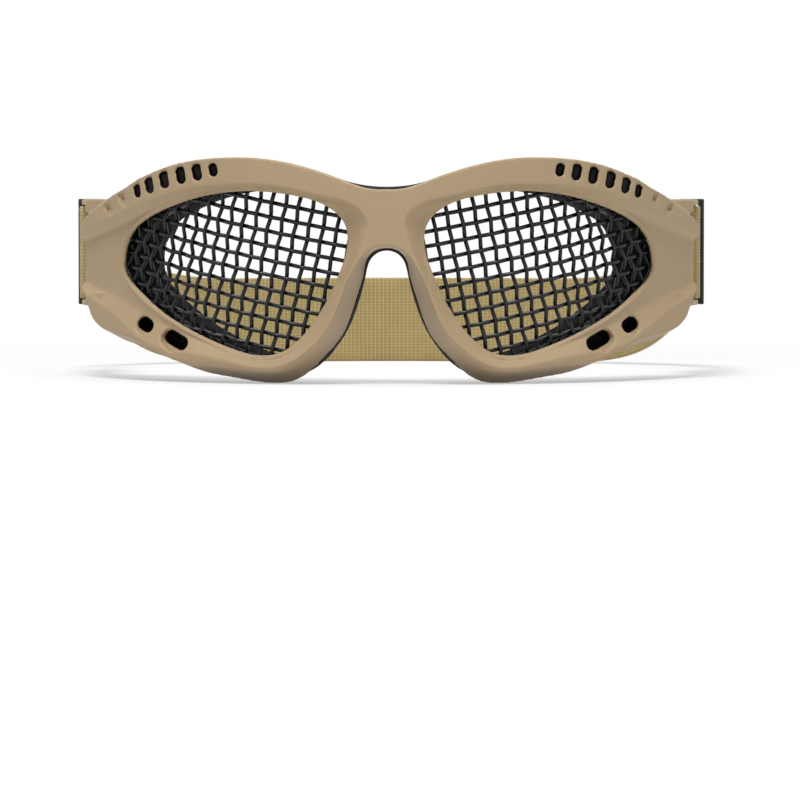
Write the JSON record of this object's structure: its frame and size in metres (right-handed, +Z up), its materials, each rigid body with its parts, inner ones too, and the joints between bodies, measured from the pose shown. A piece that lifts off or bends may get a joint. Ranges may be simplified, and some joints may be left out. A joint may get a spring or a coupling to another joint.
{
  "type": "mesh safety goggles",
  "caption": "Wrap-round safety goggles with woven wire lenses in a moulded frame, a foam face seal and an elastic strap on sliders.",
  "frame": {"origin": "middle of the width and depth, on the level the goggles stand on", "axes": "+X to the right seen from the front, +Y back towards the face and the strap, +Z up"},
  "size_m": [0.1702, 0.2052, 0.0575],
  "materials": {
    "frame": "dark earth moulded plastic, soft sheen",
    "mesh": "black painted steel wire",
    "rim": "black painted steel strip",
    "foam": "black open-cell foam",
    "webbing": "khaki ribbed elastic webbing",
    "slider": "black moulded plastic",
    "thread": "sewing thread"
  },
  "bodies": {
    "frame": {"frame_shell": "frame", "left_mesh_warp": "mesh", "right_mesh_warp": "mesh", "left_mesh_weft": "mesh", "right_mesh_weft": "mesh", "left_mesh_rim": "rim", "right_mesh_rim": "rim", "face_foam": "foam"},
    "strap": {"strap_band": "webbing", "left_strap_fold": "webbing", "right_strap_fold": "webbing", "left_strap_return": "webbing", "right_strap_return": "webbing"},
    "left_slider": {"left_slider": "slider", "left_end_tab": "webbing", "left_bar_tack": "thread"},
    "right_slider": {"right_slider": "slider", "right_end_tab": "webbing", "right_bar_tack": "thread"}
  },
  "joints": [
    {"name": "strap_swing", "type": "hinge", "parent": "frame", "child": "strap", "pos_m": [0, -0.03411, 0.033], "axis": [1, 0, 0], "range_deg": [-10, 18], "deforming": ["left_strap_fold", "right_strap_fold"]},
    {"name": "left_slider_slide", "type": "slide", "parent": "strap", "child": "left_slider", "axis": [-0.0349, 0.9994, 0], "range_m": [-0.006, 0.014], "deforming": ["left_strap_return"]},
    {"name": "right_slider_slide", "type": "slide", "parent": "strap", "child": "right_slider", "axis": [0.0349, 0.9994, 0], "range_m": [-0.006, 0.014], "deforming": ["right_strap_return"]}
  ]
}
